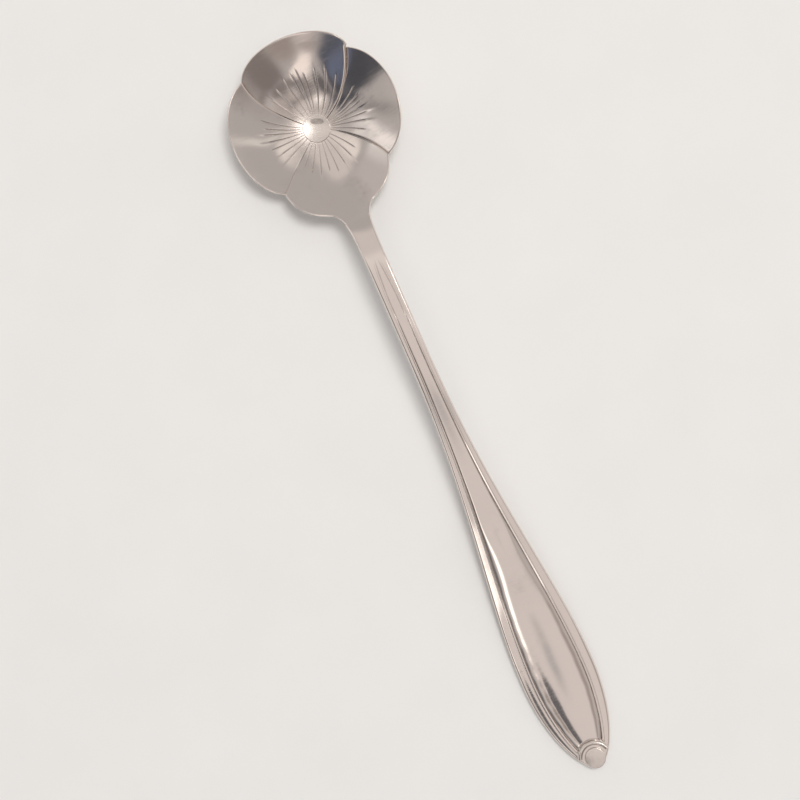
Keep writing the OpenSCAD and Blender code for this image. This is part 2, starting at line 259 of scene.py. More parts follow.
lamp_data = bpy.data.lights.new("key_lamp", "AREA")
lamp_data.shape = "DISK"
lamp_data.size = lamp_width
lamp_data.energy = lamp_watts
lamp_data.color = (1.0, 0.97, 0.94)
lamp = bpy.data.objects.new("key_lamp", lamp_data)
lamp_side = Vector((math.cos(lamp_bearing), math.sin(lamp_bearing), 0))
lamp_from = lamp_side * math.sin(lamp_lean) + Vector((0, 0, math.cos(lamp_lean)))
lamp.location = lamp_from * lamp_distance + lamp_aim
lamp.rotation_mode = "QUATERNION"
lamp.rotation_quaternion = lamp_from.to_track_quat("Z", "Y")
lamp.visible_glossy = False
scene.collection.objects.link(lamp)
print("lamp at, mm:", [round(c / MM) for c in lamp.location])

# %% [markdown]
# ## Finishes shared by all the silver
#
# Years of polishing leave fine marks that cross in every direction, and a cloth never reaches the
# bottom of a groove, which stays dark. Both effects belong to every piece, so each is a node group with
# its own inputs and outputs, built once and placed in each material. The marks are noise that is drawn
# out long in four directions.

# %% Group: polishing marks
# The turn of each set of strokes, and how fine it is
STROKES = ((12, 5200), (71, 6400), (128, 5600), (158, 7000))
along_stroke = 170
stroke_start, stroke_full = 0.62, 0.78


def new_group(name, inputs, outputs):
    group = bpy.data.node_groups.new(name, "ShaderNodeTree")
    for label, kind in inputs:
        group.interface.new_socket(name=label, in_out="INPUT", socket_type=kind)
    for label, kind in outputs:
        group.interface.new_socket(name=label, in_out="OUTPUT", socket_type=kind)
    return group, group.nodes.new("NodeGroupInput").outputs, group.nodes.new("NodeGroupOutput").inputs


polish_marks, taken, given = new_group(
    "polish_marks",
    [("Place", "NodeSocketVector"), ("Share", "NodeSocketFloat")],
    [("Height", "NodeSocketFloat"), ("Dullness", "NodeSocketFloat")])
strokes = None
for turn, fineness in STROKES:
    turned = add_node(polish_marks, "ShaderNodeMapping", {
        0: taken["Place"], 2: (0, 0, math.radians(turn)), 3: (fineness, along_stroke, along_stroke),
    }).outputs[0]
    stroke = ramp(polish_marks, noise(polish_marks, turned, 1.0, 1.0), stroke_start, stroke_full)
    strokes = stroke if strokes is None else arithmetic(polish_marks, "MAXIMUM", strokes, stroke)
marks = arithmetic(polish_marks, "MULTIPLY", strokes, taken["Share"])
polish_marks.links.new(arithmetic(polish_marks, "MULTIPLY", marks, -1.0), given["Height"])
polish_marks.links.new(marks, given["Dullness"])
print("group", polish_marks.name, "has", len(polish_marks.nodes), "nodes")

# %% Group: tarnish, painted shade and smudges
# The darkening it takes in is tarnish in the grooves, and also painted shade beside the petal seams and a
# painted dark reflection on the flower's centre
tarnish_and_painted_shade_group, taken, given = new_group(
    "tarnish_and_painted_shade",
    [("Place", "NodeSocketVector"), ("Darkening", "NodeSocketFloat"), ("Smudge Share", "NodeSocketFloat")],
    [("Mask", "NodeSocketFloat"), ("Cloud", "NodeSocketFloat")])
broken = ramp(tarnish_and_painted_shade_group, noise(tarnish_and_painted_shade_group, taken["Place"], 900.0, 3.0), 0.2, 0.6, 0.55, 1.0)
broken_darkening = arithmetic(tarnish_and_painted_shade_group, "MULTIPLY", taken["Darkening"], broken)
cloud = noise(tarnish_and_painted_shade_group, taken["Place"], 150.0, 5.0, 0.6)
specks = ramp(tarnish_and_painted_shade_group, noise(tarnish_and_painted_shade_group, taken["Place"], 1100.0, 2.0), 0.3, 0.8, 0.4, 1.0)
smudge = arithmetic(tarnish_and_painted_shade_group, "MULTIPLY", ramp(tarnish_and_painted_shade_group, cloud, 0.56, 0.80), specks)
smudge = arithmetic(tarnish_and_painted_shade_group, "MULTIPLY", smudge, taken["Smudge Share"])
tarnish_and_painted_shade_group.links.new(arithmetic(tarnish_and_painted_shade_group, "MAXIMUM", broken_darkening, smudge), given["Mask"])
tarnish_and_painted_shade_group.links.new(cloud, given["Cloud"])
print("group", tarnish_and_painted_shade_group.name, "has", len(tarnish_and_painted_shade_group.nodes), "nodes")

# %% [markdown]
# ## The silver itself
#
# The metal is a warm, light grey. Its roughness is low, rises a little along the polishing marks and
# in cloudy patches, and rises most in the tarnish and the painted shade. Round the flower's centre, where
# each spoonful is scraped out, the metal is worn dull. The groove mask could be painted by place, but it
# is a number stored on each point of the mesh under the name tarnish_and_painted_shade, so the dark lies
# exactly in the modelled grooves. The same number also holds painted shade beside the petal seams and a
# painted dark reflection on the flower's centre.

# %% Silver materials
tone_spread = 0.03
clear_share, cloudy_share = 0.9, 1.15
mark_dullness, tarnish_and_painted_shade_dullness, worn_dullness = 0.12, 0.35, 0.12
worn_radius, bright_radius = 3 * MM, 8 * MM
swell_scale = 190.0
scratch_strength, scratch_depth = 0.25, 0.01 * MM


def silver(name, metal, dark, dullness, mark_share, smudge_share, wave):
    made = bpy.data.materials.new(name)
    made.use_nodes = True
    tree = made.node_tree
    skin = tree.nodes["Principled BSDF"]
    skin.inputs["Metallic"].default_value = 1.0
    place = add_node(tree, "ShaderNodeTexCoord").outputs["Object"]
    # This layer holds tarnish in the grooves, painted shade beside the petal seams and a painted dark
    # reflection on the flower's centre
    darkening = add_node(tree, "ShaderNodeAttribute", attribute_name="tarnish_and_painted_shade").outputs["Fac"]
    # add_node sets a group's tree before it fills the sockets that come with it
    marks = add_node(tree, "ShaderNodeGroup", {"Place": place, "Share": mark_share}, node_tree=polish_marks)
    tarnish_and_painted_shade = add_node(tree, "ShaderNodeGroup", {
        "Place": place, "Darkening": darkening, "Smudge Share": smudge_share}, node_tree=tarnish_and_painted_shade_group)
    mask, cloud = tarnish_and_painted_shade.outputs["Mask"], tarnish_and_painted_shade.outputs["Cloud"]

    dim = [c * (1 - tone_spread) for c in metal] + [1]
    bright = [c * (1 + tone_spread) for c in metal] + [1]
    toned = mix_colour(tree, cloud, dim, bright)
    tree.links.new(mix_colour(tree, mask, toned, (*dark, 1)), skin.inputs["Base Color"])

    rough = ramp(tree, cloud, 0.3, 0.7, dullness * clear_share, dullness * cloudy_share)
    on_marks = arithmetic(tree, "MULTIPLY", marks.outputs["Dullness"], mark_dullness)
    rough = arithmetic(tree, "ADD", rough, on_marks)
    rough = arithmetic(tree, "ADD", rough, arithmetic(tree, "MULTIPLY", mask, tarnish_and_painted_shade_dullness))
    from_centre = add_node(tree, "ShaderNodeVectorMath", {0: place}, operation="LENGTH").outputs["Value"]
    worn = ramp(tree, from_centre, worn_radius, bright_radius, worn_dullness, 0.0)
    tree.links.new(arithmetic(tree, "ADD", rough, worn), skin.inputs["Roughness"])

    swell = noise(tree, place, swell_scale, 1.0)
    waves = add_node(tree, "ShaderNodeBump", {
        "Strength": 1.0, "Distance": wave * MM, "Height": swell}).outputs[0]
    scratched = add_node(tree, "ShaderNodeBump", {
        "Strength": scratch_strength, "Distance": scratch_depth,
        "Height": marks.outputs["Height"], "Normal": waves}).outputs[0]
    tree.links.new(scratched, skin.inputs["Normal"])
    return made


bowl_silver = silver(
    "bowl_silver", (0.80, 0.72, 0.67), (0.10, 0.085, 0.075),
    dullness=0.13, mark_share=0.5, smudge_share=0.25, wave=0.010)
handle_silver = silver(
    "handle_silver", (0.80, 0.72, 0.67), (0.10, 0.085, 0.075),
    dullness=0.07, mark_share=0.25, smudge_share=0.12, wave=0.006)
trim_silver = silver(
    "trim_silver", (0.77, 0.70, 0.65), (0.09, 0.078, 0.07),
    dullness=0.14, mark_share=0.7, smudge_share=0.2, wave=0.006)
print("silver finishes:", bowl_silver.name, handle_silver.name, trim_silver.name)

# %% [markdown]
# ## The bowl's curve
#
# Under the flower lies one round dish. A part of a ball would be simple, but its walls are too steep. A
# square root gives the curve with two numbers: the depth, and a roundness that sets whether the walls
# run straight, as in a cone, or bend steadily, as in a ball. The dish is a little longer toward the
# handle and the tip than toward its sides.

# %% The dish
side_radius, tip_radius, left_radius, heel_radius = 15.2, 15.9, 14.95, 16.5
bowl_depth, round_share = 7.5, 1.2
sheet, solder_gap, seam_gap = 1.0, 0.1, 0.06
film = solder_gap / 2
pin_radius, head_radius, tail_height = 1.4, 2.5, 0.4
neck_x, neck_half, neck_thick = 18.4, 2.4, 2.3
hole_radius, flat_radius = pin_radius + solder_gap, head_radius + solder_gap
lap_start, tuck_start = 3.5 * flat_radius, 4.2 * flat_radius


def smooth(t):
    """Goes from 0 to 1 with soft ends while t goes from 0 to 1."""
    t = max(0.0, min(1.0, t))
    return t * t * (3 - 2 * t)


def reach(turn):
    """Radius at which the dish has its full depth, in the direction turn."""
    lean = math.cos(math.radians(turn))
    return side_radius + ((neck_x if lean > 0 else tip_radius) - side_radius) * lean * lean


def rise_share(q):
    return (math.hypot(q, round_share) - round_share) / (math.hypot(1, round_share) - round_share)


floor_z = tail_height + film + sheet / 2 - bowl_depth * rise_share(hole_radius / tip_radius)


def dish_z(r, turn):
    return floor_z + bowl_depth * rise_share(r / reach(turn))


print("dish at its floor and tip rim, mm:", round(floor_z, 2), round(dish_z(tip_radius, 180), 2))

# %% [markdown]
# ## Petals that lap
#
# Each petal runs from one curved seam to the next. Along its open edge it rides up over its neighbour,
# and along its other edge it dips and tucks under the next one, so each laps the next all the way round.
# A place on a petal has two numbers: u runs across it, from 0 at the open edge to 1 at the seam and 2 at
# the hidden end of the tuck, and r is the distance from the flower's centre. One class holds what all
# petals share, and each petal has its own rim, corners, hollow and edge.

# %% Seams
lap, side_drop = 1.6, 1.0
notch_radius = side_radius - side_drop
step = (sheet + solder_gap) / 2
tuck_trim = 0.8
# The seams heel to right, right to tip, tip to left and left to heel
seam_inner = (62, 104, 228, 310)
seam_rim = (43, 134, 217, 313)
seam_bend = (1.2, 1.0, 3.0, 2.4)


def turn_of(width, r):
    return math.degrees(width / r)


def seam(k, r):
    return seam_inner[k] + (seam_rim[k] - seam_inner[k]) * min(1, r / notch_radius) ** seam_bend[k]


def tuck(r):
    """How far a petal reaches under the next one."""
    return film + lap * smooth((r - tuck_start) / (side_radius - tuck_start))


print("widest tuck, mm:", round(tuck(side_radius), 2))

# %% Petal outlines
class Petal:
    def __init__(self, name, seams, rim, drop, lean, corner, hollow, edge, grown, stamens, back=0):
        self.name, self.back = name, back
        self.low_seam, self.high_seam = seams
        self.rim_radius, self.drop, self.lean, self.corner = rim, drop, lean, corner
        self.hollow, self.edge, self.grown, self.stamens = hollow, edge, grown, stamens

    def low(self, r):
        return seam(self.low_seam, r) - self.back

    def high(self, r):
        return seam(self.high_seam, r)

    def turn(self, u, r):
        """Direction of the place u, r. The open edge stands back from the seam by a thin gap."""
        low, high = self.low(r) + turn_of(seam_gap, r), self.high(r)
        return low + u * (high - low) if u <= 1 else high + (u - 1) * turn_of(tuck(r), r)

    def lift(self, u, r):
        """Height over the dish: up at the open edge, hollow in the middle, down at the seam."""
        start, end = self.grown
        grow = smooth((r - start) / (end - start))
        over = turn_of(tuck(r), r) / (self.high(r) - self.low(r))
        t = (u - over) / (1 - over)
        hollow = math.sin(math.pi * max(0.0, min(1.0, t))) ** 2
        return step * grow * (1 - 2 * smooth(t)) - self.hollow * grow * hollow

    def rim(self, u):
        side = 1 - 2 * min(1, u)
        return (self.rim_radius + self.lean * side - self.drop * abs(side) ** self.corner
                - tuck_trim * max(0, u - 1))


print("a petal's lift at its edge, mm:", round(step, 2))

# %% [markdown]
# ## The heel petal's neck
#
# The heel petal does not stop at the rim: between its two lobes it is drawn out into a short neck, to
# which the handle is soldered. A separate neck would leave a line that the bowl doesn't have. So the
# petal's outline is the lobe plus a narrow bell curve, cut off square at the joint, and below it the
# metal thickens into the shank.

# %% Neck
neck_turn = math.degrees(math.atan(neck_half / neck_x))
neck_flare, flare_turn, neck_start = neck_x / 3, 0.92 * neck_turn, neck_x / 2


class HeelPetal(Petal):
    def rim(self, u):
        first = neck_x / math.cos(math.radians(self.turn(u, neck_x)))
        joint = neck_x / math.cos(math.radians(self.turn(u, first)))
        flare = neck_flare * math.exp(-(self.turn(u, neck_x) / flare_turn) ** 2)
        return min(joint, super().rim(u) + flare)

    def line(self, turn, r):
        """The u of a direction, which is what turn gives, the other way round."""
        low = self.low(r) + turn_of(seam_gap, r)
        return (turn - low) / (self.high(r) - low)


def neck_swell(x, y):
    along = smooth((x - neck_start) / (neck_x - neck_start))
    return (neck_thick - sheet) * along * max(0, 1 - (y / neck_half) ** 2) ** 2


print("neck's half turn, degrees:", round(neck_turn, 2))

# %% The four petals
# Radii at which a petal starts to leave the dish, and has its full lift
early, late, last = (flat_radius, lap_start), (5.0, 10.5), (5.7, 11.5)
hair = 0.01
# Stamens: how far across the petal each line lies, and how far out it runs
tip = Petal(
    "tip_petal", (1, 2), rim=tip_radius - hair, drop=1.1, lean=0.0, corner=5,
    hollow=0.4, edge=0.4, grown=last, stamens=[
        (0.10, 9.9), (0.22, 10.3), (0.33, 10.2), (0.45, 9.9), (0.51, 10.8), (0.57, 10.4), (0.67, 10.3),
        (0.79, 9.8), (0.90, 9.5)])
left = Petal(
    "left_petal", (2, 3), rim=left_radius - hair, drop=side_drop, lean=0.6, corner=4,
    hollow=0.4, edge=0.3, grown=late, stamens=[
        (0.19, 9.8), (0.28, 9.2), (0.36, 9.5), (0.46, 9.1), (0.57, 9.2), (0.69, 8.0), (0.82, 7.4)])
right = Petal(
    "right_petal", (0, 1), rim=side_radius - hair, drop=side_drop, lean=-0.3, corner=4,
    hollow=0.1, edge=0.2, grown=early, stamens=[
        (0.15, 9.0), (0.31, 9.2), (0.43, 9.5), (0.54, 8.6), (0.63, 9.2), (0.73, 9.6), (0.85, 10.0)])
heel = HeelPetal(
    "heel_petal", (3, 0), rim=heel_radius, drop=2.9, lean=-0.2, corner=3,
    hollow=0.4, edge=0.12, grown=late, back=360, stamens=[
        (0.09, 7.6), (0.20, 8.4), (0.31, 8.7), (0.42, 8.2), (0.52, 8.9), (0.63, 8.4), (0.75, 8.3),
        (0.86, 7.8)])
petals = [tip, left, right, heel]
print("stamens on each petal:", {p.name: len(p.stamens) for p in petals})

# %% [markdown]
# ## Rounded sheet edges
#
# Real sheet metal has no knife edge. A bevel could round it, but not at the neck, where the edges run
# into each other. So every edge here is a half round: the two skins of the sheet draw together along a
# quarter ellipse and meet in one line. For the heel petal, whose outline doubles back at the neck, we
# measure the true distance to the outline, with a k-d tree to find the nearest points.

# %% Edge rounding
edge_round = 0.32
trace_steps = 900


def quarter(t):
    """Height of a quarter circle at the share t of its width."""
    t = max(0.0, min(1.0, t))
    return math.sqrt(1 - (1 - t) ** 2)


def outline_gap(points):
    """Gives a function that measures from a place to the line through the points."""
    tree = KDTree(len(points))
    for i, point in enumerate(points):
        tree.insert((*point, 0), i)
    tree.balance()

    def gap(x, y):
        here = Vector((x, y, 0))
        _, i, best = tree.find(here)
        for a, b in ((i - 1, i), (i, i + 1)):
            if a < 0 or b >= len(points):
                continue
            start, end = Vector((*points[a], 0)), Vector((*points[b], 0))
            foot, share = intersect_point_line(here, start, end)
            if 0 <= share <= 1:
                best = min(best, (foot - here).length)
        return best
    return gap


def on_petal(petal, u, r):
    turn = math.radians(petal.turn(u, r))
    return r * math.cos(turn), r * math.sin(turn)


def heel_outline(start, end):
    """Points of the heel petal's rim from one u to another."""
    places = [start + i / trace_steps * (end - start) for i in range(trace_steps + 1)]
    return [on_petal(heel, u, heel.rim(u)) for u in places]


heel_neck = [heel.line(side * neck_turn, neck_x) for side in (-1, 1)]
low_gap = outline_gap(heel_outline(0, heel_neck[0]))
high_gap = outline_gap(heel_outline(heel_neck[1], 1))
print("neck joint lies between u =", [round(u, 3) for u in heel_neck])

# %% [markdown]
# ## Stamens cut into the petals
#
# The flower's stamens are fine lines cut from the centre outwards, each with its own length. The cutter
# throws up a slight burr on both sides, and the strips between the lines end up tilted by a hair, which
# is why a reflection that crosses them breaks into steps. A bump in the material could draw the lines,
# but would be lost when only the mesh is kept, so all three are part of the mesh.

# %% Stamen relief
stamen_depth, stamen_angle, stamen_radius = 0.055, 0.75, 9
stamen_root, stamen_ease = 2.3, 0.7
inner_share, deepen_from, deepen_run = 0.6, 4, 4
# Measured from the line in half widths of it
stamen_zone, burr_place, burr_width, burr_share = 2, 1.3, 0.3, 0.2
stamen_dark, tip_dark = 0.4, 0.15
strip_lift, strip_from, strip_end, strip_ease = 0.045, 3, 11.5, 3
dice = random.Random(7)


def stamen_half(petal):
    return stamen_angle / (petal.high(stamen_radius) - petal.low(stamen_radius))


for petal in petals:
    petal.strips = [dice.uniform(-1, 1) for _ in range(len(petal.stamens) + 1)]


def stamen_depth_share(r, end):
    """Share of a stamen's full depth at r: soft at both ends and shallower near the centre."""
    ends = smooth((r - stamen_root) / stamen_ease) * smooth((end - r) / stamen_ease)
    return ends * (inner_share + (1 - inner_share) * smooth((r - deepen_from) / deepen_run))


def stamen_relief(petal, u, r):
    """Depth of cut, and how tarnished the cut is."""
    half, cut, dark = stamen_half(petal), 0.0, 0.0
    strip = petal.strips[0]
    for i, (line, end) in enumerate(petal.stamens):
        away = (u - line) / half
        strip += (petal.strips[i + 1] - petal.strips[i]) * smooth((away + stamen_zone) / (2 * stamen_zone))
        if abs(away) < stamen_zone:
            along = stamen_depth_share(r, end)
            bowl = max(0.0, 1 - away * away) ** 1.5
            burr = burr_share * math.exp(-((abs(away) - burr_place) / burr_width) ** 2)
            cut += stamen_depth * along * (bowl - burr)
            dark = max(dark, (tip_dark if petal is tip else stamen_dark) * along * bowl)
    window = smooth((r - strip_from) / strip_ease) * smooth((strip_end - r) / strip_ease)
    return cut - strip_lift * strip * window, dark


print("stamen width, mm:", round(2 * math.radians(stamen_angle) * stamen_radius, 2))

# %% [markdown]
# ## From a grid to a petal
#
# A petal could be one surface with a Solidify modifier, but its two skins differ. Blender's grid
# operator gives a flat sheet of squares. We lay down two of them, move every point to its place on the
# upper or the lower skin, and merge the points where the skins meet at the rounded edges. The columns
# crowd together at each stamen and at the edges, where the shape needs them.

# %% Two-skin helper
skin_merge = 0.0002 * MM
sharp_angle = math.radians(45)


def two_skins(columns, rows, point):
    """A closed sheet. point(column, row, side) gives a place in mm and its tarnish_and_painted_shade value.
    """
    bm = bmesh.new()
    tarnish_and_painted_shade = bm.verts.layers.float.new("tarnish_and_painted_shade")
    for side in (1, -1):
        grid = bmesh.ops.create_grid(bm, x_segments=len(columns) - 1, y_segments=len(rows) - 1, size=0.5)
        for vert in grid["verts"]:
            column = columns[round((vert.co.x + 0.5) * (len(columns) - 1))]
            row = rows[round((vert.co.y + 0.5) * (len(rows) - 1))]
            place, vert[tarnish_and_painted_shade] = point(column, row, side)
            vert.co = Vector(place) * MM
    bmesh.ops.remove_doubles(bm, verts=bm.verts, dist=skin_merge)
    bmesh.ops.holes_fill(bm, edges=[e for e in bm.edges if e.is_boundary])
    bmesh.ops.recalc_face_normals(bm, faces=bm.faces)
    return bm


def finish_piece(bm, name, material):
    mesh = bpy.data.meshes.new(name + "_skin")
    bm.to_mesh(mesh)
    bm.free()
    mesh.shade_smooth()
    mesh.set_sharp_from_angle(angle=sharp_angle)
    mesh.materials.append(material)
    piece = bpy.data.objects.new(name + "_skin", mesh)
    scene.collection.objects.link(piece)
    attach(piece, "root")
    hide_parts(name)
    mesh.calc_loop_triangles()
    print(piece.name, "has", len(mesh.loop_triangles), "triangles")


print("two-skin helper ready")

# %% Petal columns and rows
# Places beside a stamen, in half widths of it, at which columns lie
beside_stamen = [side * k for k in (0.25, 0.6, 1, 1.3, 1.6, 2) for side in (-1, 1)]
edge_radius, edge_columns = 10, 6
tuck_round, tuck_columns = 0.3, 4
seam_column, widest_column, widest_heel_column, narrowest_column = 0.02, 0.02, 0.01, 1e-4
neck_band = 0.012
body_rows, rim_rows = 84, 7


def open_share(petal):
    """Share of the petal's width that its rounded open edge takes up."""
    return math.degrees(petal.edge / edge_radius) / (petal.high(edge_radius) - petal.low(edge_radius))


def rounded_steps(count):
    """Shares of a quarter circle's width that divide its arc evenly."""
    return [1 - math.cos(math.radians(90 * k / count)) for k in range(count + 1)]


def petal_columns(petal):
    half, edge = stamen_half(petal), open_share(petal)
    columns = {0.0, 1.0}
    columns |= {line + half * k for line, _ in petal.stamens for k in beside_stamen}
    columns |= {edge * share for share in rounded_steps(edge_columns)}
    columns |= {1 + k / 8 for k in range(1, 6)}
    columns |= {2 - tuck_round * share for share in rounded_steps(tuck_columns)}
    columns |= {1 - seam_column * k for k in range(1, 5)}
    if petal is heel:
        for line in heel_neck:
            columns |= {line + neck_band * k / 3 for k in range(-9, 10)}
    spaced = sorted(columns)
    for a, b in zip(spaced, spaced[1:]):
        parts = math.ceil((b - a) / (widest_heel_column if petal is heel else widest_column))
        columns |= {a + (b - a) * k / parts for k in range(1, parts)}
    kept = []
    for u in sorted(columns):
        if not kept or u - kept[-1] > narrowest_column:
            kept.append(u)
    return kept


petal_rows = [(k / body_rows, 0.0) for k in range(body_rows)]
petal_rows += [(1.0, 1 - math.cos(math.radians(90 * (1 - k / rim_rows)))) for k in range(rim_rows + 1)]
print("rows on a petal:", len(petal_rows))

# %% [markdown]
# The last rows of each petal close in on the rim, spaced like the points of a quarter circle, so that
# the half-round edge is smooth. One function then places a point of either skin. Beside the seam under
# the next petal the upper skin gets painted shade, a thin dark line in the corner there.

# %% Petal points
hole_round = 0.2
# Painted shade beside the seam: how dark it is on each petal, how narrow, and where it fades in
seam_painted_shade = {"tip_petal": 0.15, "left_petal": 0.05, "right_petal": 0.3, "heel_petal": 0.25}
seam_painted_shade_width, seam_painted_shade_from, seam_painted_shade_run = 0.09, 3, 3


def painted_shade_at_seam(petal, u, r):
    dark = seam_painted_shade[petal.name]
    if u <= 1:
        dark *= math.exp(-(1 - u) * math.radians(petal.high(r) - petal.low(r)) * r / seam_painted_shade_width)
    return dark * smooth((r - seam_painted_shade_from) / seam_painted_shade_run)


def petal_point(petal):
    edge = open_share(petal)

    def point(u, row, side):
        body, inset = row
        rim = petal.rim(u)
        if body < 1:
            r = hole_radius + body * (rim - edge_round - hole_radius)
            to_rim = rim - r
        else:
            to_rim = edge_round * inset
            r = rim - to_rim
        x, y = on_petal(petal, u, r)
        if petal is heel and heel_neck[0] < u < heel_neck[1]:
            to_rim = min(low_gap(x, y), high_gap(x, y))
        elif petal is heel and 0 < u < 1 and to_rim > 0:
            to_rim = min(to_rim, (low_gap if u < 0.5 else high_gap)(x, y))
        round_off = quarter(to_rim / edge_round) * quarter(u / edge)
        round_off = round_off * quarter((2 - u) / tuck_round) * quarter((r - hole_radius) / hole_round)
        middle = dish_z(r, petal.turn(u, r)) + petal.lift(u, r)
        if side > 0:
            cut, dark = stamen_relief(petal, u, r) if 0 < u < 1 else (0.0, 0.0)
            return (x, y, middle + sheet / 2 * round_off - cut), max(dark, painted_shade_at_seam(petal, u, r))
        swell = neck_swell(x, y) if petal is heel else 0.0
        return (x, y, middle - (sheet / 2 + swell) * round_off), 0.0
    return point


for petal in petals:
    bm = two_skins(petal_columns(petal), petal_rows, petal_point(petal))
    finish_piece(bm, petal.name, bowl_silver)

# %% [markdown]
# ## The flower's centre
#
# A rivet holds the petals: a thin disc with a slightly dished face, nearly flush with the petals round
# it, a shank through the sheet and a flat tail below. A cylinder with bevels would have no dish. It is
# turned work, so we draw half of its section and spin it all the way round. The far side of its dish
# keeps a soft oval of painted dark reflection.

# %% Spinning helper
spin_merge = 0.0005 * MM


def arc_points(centre, radii, start, end, count):
    return [(centre[0] + radii[0] * math.cos(math.radians(start + (end - start) * k / count)),
             centre[1] + radii[1] * math.sin(math.radians(start + (end - start) * k / count)))
            for k in range(count + 1)]


def spun(section, axis_x, turns):
    """section is a list of (radius, height, tarnish_and_painted_shade), in mm, from the axis round to the
    axis.
    """
    bm = bmesh.new()
    tarnish_and_painted_shade = bm.verts.layers.float.new("tarnish_and_painted_shade")
    line = []
    for radius, height, dark in section:
        vert = bm.verts.new(Vector((axis_x + radius, 0, height)) * MM)
        vert[tarnish_and_painted_shade] = dark
        line.append(vert)
    edges = [bm.edges.new(pair) for pair in zip(line, line[1:])]
    bmesh.ops.spin(bm, geom=line + edges, cent=(axis_x * MM, 0, 0), axis=(0, 0, 1), angle=2 * math.pi,
                   steps=turns, use_merge=True)
    bmesh.ops.remove_doubles(bm, verts=bm.verts, dist=spin_merge)
    bmesh.ops.recalc_face_normals(bm, faces=bm.faces)
    return bm


print("spinning helper ready")

# %% Section of the flower centre
head_height, head_dish, head_rim = 0.08, 0.21, 0.08
tail_radius, tail_bevel = 2.3, 0.08
seat_lift = 0.02
dish_radius, dish_steps = head_radius - head_rim, 25


def seat_z(radius):
    """Height of the disc's underside, a film above the petals."""
    return dish_z(radius, 90) + sheet / 2 + seat_lift


head_z = seat_z(head_radius)
section = []
for k in range(dish_steps):
    radius = dish_radius * k / dish_steps
    hollow = 1 - (radius / dish_radius) ** 2
    section.append((radius, head_z + head_height - head_dish * hollow, 0.0))
section += [(r, z, 0.0) for r, z in arc_points((dish_radius, head_z), (head_rim, head_height), 90, 0, 8)]
section += [(r, seat_z(r), 0.6) for r in (2.4, 2.1, 1.8, 1.5, pin_radius)]
section += [
    (pin_radius, tail_height, 1.0), (tail_radius - tail_bevel, tail_height, 0.6),
    (tail_radius, tail_height - tail_bevel, 0.3), (tail_radius, tail_bevel, 0.0),
    (tail_radius - tail_bevel, 0.0, 0.0), (0.0, 0.0, 0.0)]
print("points in the section:", len(section))

# %% Flower centre and its painted dark reflection
painted_reflection_place, painted_reflection_axis, painted_reflection_halves = Vector((-1.10, 0.54)), (0.405, 0.914), (1.25, 0.55)
painted_reflection_dark, painted_reflection_end, painted_reflection_ease = 0.5, 1.15, 0.35
facing_up = 0.5

bm = spun(section, 0.0, 96)
tarnish_and_shade_layer = bm.verts.layers.float["tarnish_and_painted_shade"]
bm.normal_update()
for vert in bm.verts:
    place = Vector(vert.co.xy) / MM - painted_reflection_place
    across = painted_reflection_axis[0] * place.x + painted_reflection_axis[1] * place.y
    along = painted_reflection_axis[0] * place.y - painted_reflection_axis[1] * place.x
    away = math.hypot(across / painted_reflection_halves[0], along / painted_reflection_halves[1])
    # Painted reflection: a soft dark oval on the disc's upward faces, stored with the tarnish
    if vert.normal.z > facing_up and vert.co.z > sheet * MM:
        vert[tarnish_and_shade_layer] = max(vert[tarnish_and_shade_layer], painted_reflection_dark * smooth((painted_reflection_end - away) / painted_reflection_ease))
finish_piece(bm, "flower_centre", trim_silver)

# %% [markdown]
# ## The handle's line
#
# Seen from the side, the shank carries on up the bowl's wall, bends over a crest and sinks in one long
# curve to the table. Seen from above, it is narrow for a fifth of its length and then swells to a broad
# leaf with a blunt point. A curve object with a bevel could follow the line, but its section would stay
# the same. So each is one short function of x, the distance along the handle.

# %% Handle line and outline
handle_end, crest_x, widen_x, broad_x, landing_x = 123.7, 31.0, 39.0, 105.5, 113.0
shank_half, broad_half, end_thick, edge_thick = 1.9, 6.7, 1.9, 1.2
crest_power, widen_power, tip_power, neck_taper = 3.2, 1.4, 0.6, 2.2


def heel_top(y):
    """Height of the heel petal's upper skin at the joint."""
    r, turn = math.hypot(neck_x, y), math.degrees(math.atan(y / neck_x))
    return dish_z(r, turn) + heel.lift(heel.line(turn, r), r) + sheet / 2


neck_z = heel_top(0)
neck_slope = bowl_depth / neck_x / math.hypot(1, round_share) / (math.hypot(1, round_share) - round_share)
crest_run = crest_x - neck_x
crest_z = neck_z + neck_slope * crest_run / crest_power


def line_z(x):
    if x < crest_x:
        return crest_z - (crest_z - neck_z) * ((crest_x - x) / crest_run) ** crest_power
    fall = min(1.0, (x - crest_x) / (landing_x - crest_x))
    return end_thick + (crest_z - end_thick) * (1 + math.cos(math.pi * fall)) / 2


def half_width(x):
    if x >= broad_x:
        return broad_half * max(0.0, 1 - ((x - broad_x) / (handle_end - broad_x)) ** 2) ** tip_power
    flare = (neck_half - shank_half) * math.exp(-(x - neck_x) / neck_taper)
    widened = smooth((max(0, x - widen_x) / (broad_x - widen_x)) ** widen_power)
    return shank_half + flare + (broad_half - shank_half) * widened


# %% [markdown]
# ## The handle's section
#
# Across the handle lie a raised panel with rolled shoulders, a fine groove, a thin bead and a border. We
# measure across in four zones, so that a row of points always lies exactly in the groove and on the
# bead, however wide the handle is. Toward the neck the panel narrows to a tongue, of which only the
# dark lines are left where the relief has faded away.

# %% Zones across the handle
shank_border, broad_border, border_share = 0.8, 1.7, 0.42
bead_width, bead_share = 0.45, 0.14
edge_width, edge_share = 0.35, 0.28
tongue_x, tongue_run, tongue_least, tongue_power = 25.6, 7.5, 0.2, 0.6


